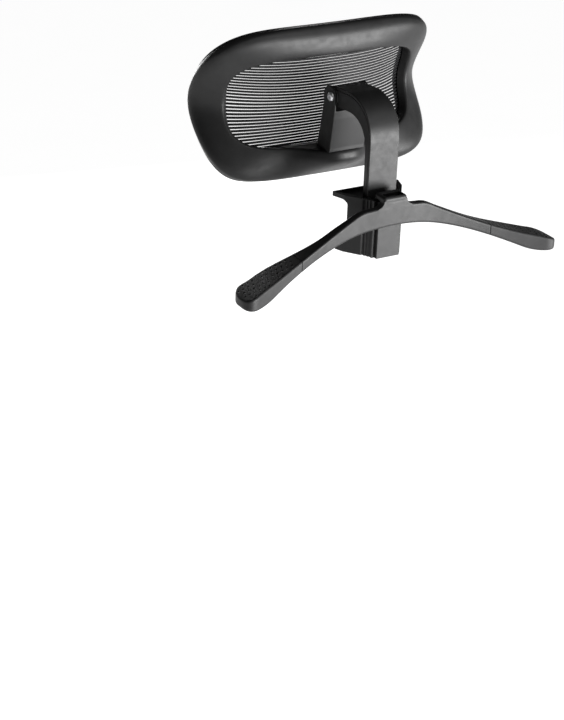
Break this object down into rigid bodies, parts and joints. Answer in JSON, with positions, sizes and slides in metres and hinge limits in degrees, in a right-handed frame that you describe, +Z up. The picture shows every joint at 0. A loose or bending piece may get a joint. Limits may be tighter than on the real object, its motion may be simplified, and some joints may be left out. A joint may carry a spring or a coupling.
{
  "type": "chair headrest attachment",
  "caption": "Office chair headrest attachment: a curved mesh headrest tilts on a gooseneck arm that slides in a saddle for the chair back's top bar, with a coat hanger hooked over the saddle.",
  "frame": {"origin": "middle of the saddle's seat face, which rests on the chair back's top bar", "axes": "+X towards the sitter's left, along the coat hanger; +Y to the rear of the chair; +Z up along the arm's post"},
  "size_m": [0.4316, 0.2649, 0.2564],
  "materials": {
    "moulded_shell": "satin moulded, fine grain",
    "carrier_plastic": "matt moulded",
    "hanger_cap_plastic": "matt with a dimpled top",
    "mesh_fabric": "woven elastomer ribs",
    "slide_plastic": "smooth acetal",
    "screw_steel": "zinc plated",
    "spring_steel": "hardened, bare",
    "core_steel": "rolled strip",
    "bolt_chrome": "bright plated"
  },
  "bodies": {
    "saddle": {"saddle_housing": "moulded_shell", "spine_cover": "moulded_shell", "guide_liner_left": "slide_plastic", "guide_liner_right": "slide_plastic", "spine_screw_left": "screw_steel", "spine_screw_right": "screw_steel", "bar_screw_left": "screw_steel", "bar_screw_right": "screw_steel", "height_spring": "spring_steel", "hanger_body": "moulded_shell", "hanger_cap_left": "hanger_cap_plastic", "hanger_cap_right": "hanger_cap_plastic"},
    "arm": {"arm_rear_shell": "moulded_shell", "arm_front_shell": "moulded_shell", "arm_core": "core_steel", "arm_stop": "slide_plastic", "arm_stop_screw": "screw_steel", "arm_screw_1": "screw_steel", "arm_screw_2": "screw_steel", "arm_screw_3": "screw_steel", "hinge_bush": "slide_plastic"},
    "headrest": {"headrest_frame": "moulded_shell", "mesh_panel": "mesh_fabric", "mesh_carrier": "carrier_plastic", "tilt_bracket": "moulded_shell", "hinge_bolt": "bolt_chrome", "spring_washer": "spring_steel", "lock_nut": "screw_steel", "friction_washer_left": "slide_plastic", "friction_washer_right": "slide_plastic", "bracket_screw_left": "screw_steel", "bracket_screw_right": "screw_steel"}
  },
  "joints": [
    {"name": "height_slide", "type": "slide", "parent": "saddle", "child": "arm", "axis": [0, 0, 1], "range_m": [-0.029, 0.01]},
    {"name": "headrest_tilt", "type": "hinge", "parent": "arm", "child": "headrest", "pos_m": [0, -0.058, 0.105], "axis": [1, 0, 0], "range_deg": [-25, 25]}
  ]
}
